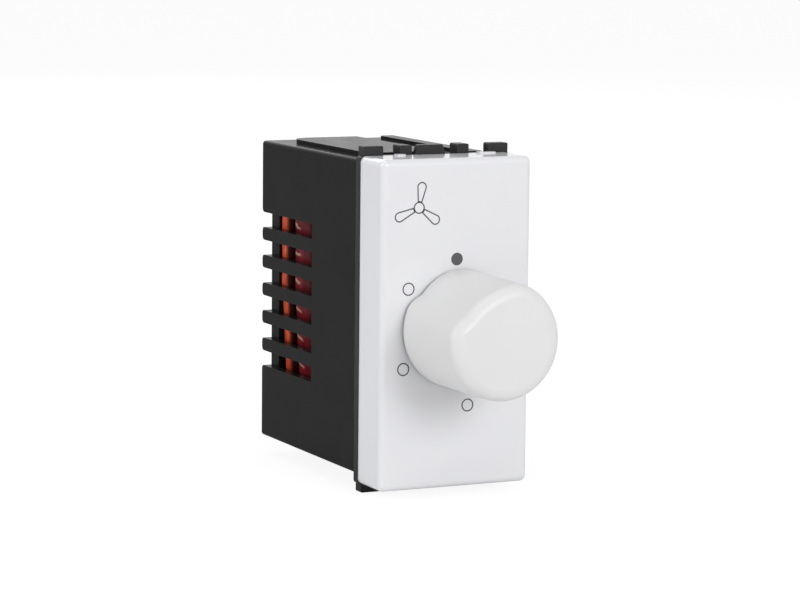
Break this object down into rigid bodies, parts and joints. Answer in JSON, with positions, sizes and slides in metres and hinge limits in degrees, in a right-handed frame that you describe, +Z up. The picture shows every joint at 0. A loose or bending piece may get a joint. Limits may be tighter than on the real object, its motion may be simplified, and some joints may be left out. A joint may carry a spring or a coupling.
{
  "type": "fan speed control switch",
  "caption": "Module-size rotary fan speed switch: white front cap with a turning knob, black vented housing, inner rotary switch, capacitors and rear terminals.",
  "frame": {"origin": "centre of the one-module front, on the plane where the front frame's lugs bear on the mounting plate", "axes": "+X to the right seen from the front, +Y to the rear along the knob's axis, +Z up"},
  "size_m": [0.0228, 0.0569, 0.0476],
  "materials": {
    "white_cap": "gloss moulded",
    "white_knob": "satin moulded",
    "black_plastic": "fine texture",
    "switch_moulding": "moulded",
    "brass": "stamped",
    "board": "laminate",
    "orange_epoxy": "dipped",
    "resistor_lacquer": "lacquered",
    "tinned_wire": "tinned",
    "zinc_steel": "zinc plated",
    "spring_steel": "polished"
  },
  "bodies": {
    "housing": {"fascia": "white_cap", "front_frame": "black_plastic", "housing_shell": "black_plastic", "rear_cover": "black_plastic", "switch_cover": "switch_moulding", "switch_base": "switch_moulding", "fixed_contacts": "brass", "circuit_board": "board", "capacitor_front": "orange_epoxy", "capacitor_rear": "orange_epoxy", "capacitor_leads": "tinned_wire", "resistor_left": "resistor_lacquer", "resistor_right": "resistor_lacquer", "line_busbar": "brass", "load_busbar": "brass", "cover_screws": "zinc_steel", "switch_rivets": "brass", "detent_spring": "spring_steel"},
    "rotor": {"knob": "white_knob", "switch_shaft": "zinc_steel", "contact_rotor": "switch_moulding", "wiper": "brass", "retaining_clip": "spring_steel"},
    "detent": {"detent_ball": "spring_steel"},
    "line_terminal_screw": {"line_screw": "zinc_steel"},
    "line_terminal_cage": {"line_cage": "brass"},
    "load_terminal_screw": {"load_screw": "zinc_steel"},
    "load_terminal_cage": {"load_cage": "brass"}
  },
  "joints": [
    {"name": "knob_turn", "type": "hinge", "parent": "housing", "child": "rotor", "pos_m": [0, 0, -0.0005], "axis": [0, 1, 0], "range_deg": [-206, 51]},
    {"name": "ball_drop", "type": "slide", "parent": "housing", "child": "detent", "axis": [0, 0, -1], "range_m": [0, 0.0004], "stiffness_N_per_m": 50, "springref_m": 0.002, "deforming": ["detent_spring"]},
    {"name": "line_screw_turn", "type": "hinge", "parent": "housing", "child": "line_terminal_screw", "pos_m": [-0.00617, 0.0284, -0.017], "axis": [0, -1, 0], "range_deg": [0, 2160]},
    {"name": "line_cage_rise", "type": "slide", "parent": "housing", "child": "line_terminal_cage", "axis": [0, 1, 0], "range_m": [0, 0.0042]},
    {"name": "load_screw_turn", "type": "hinge", "parent": "housing", "child": "load_terminal_screw", "pos_m": [0.00617, 0.0284, -0.017], "axis": [0, -1, 0], "range_deg": [0, 2160]},
    {"name": "load_cage_rise", "type": "slide", "parent": "housing", "child": "load_terminal_cage", "axis": [0, 1, 0], "range_m": [0, 0.0042]}
  ],
  "couplings": [
    {"joint": "line_screw_turn", "follows": "line_cage_rise", "rad_per_m": 8975.9},
    {"joint": "load_screw_turn", "follows": "load_cage_rise", "rad_per_m": 8975.9}
  ]
}
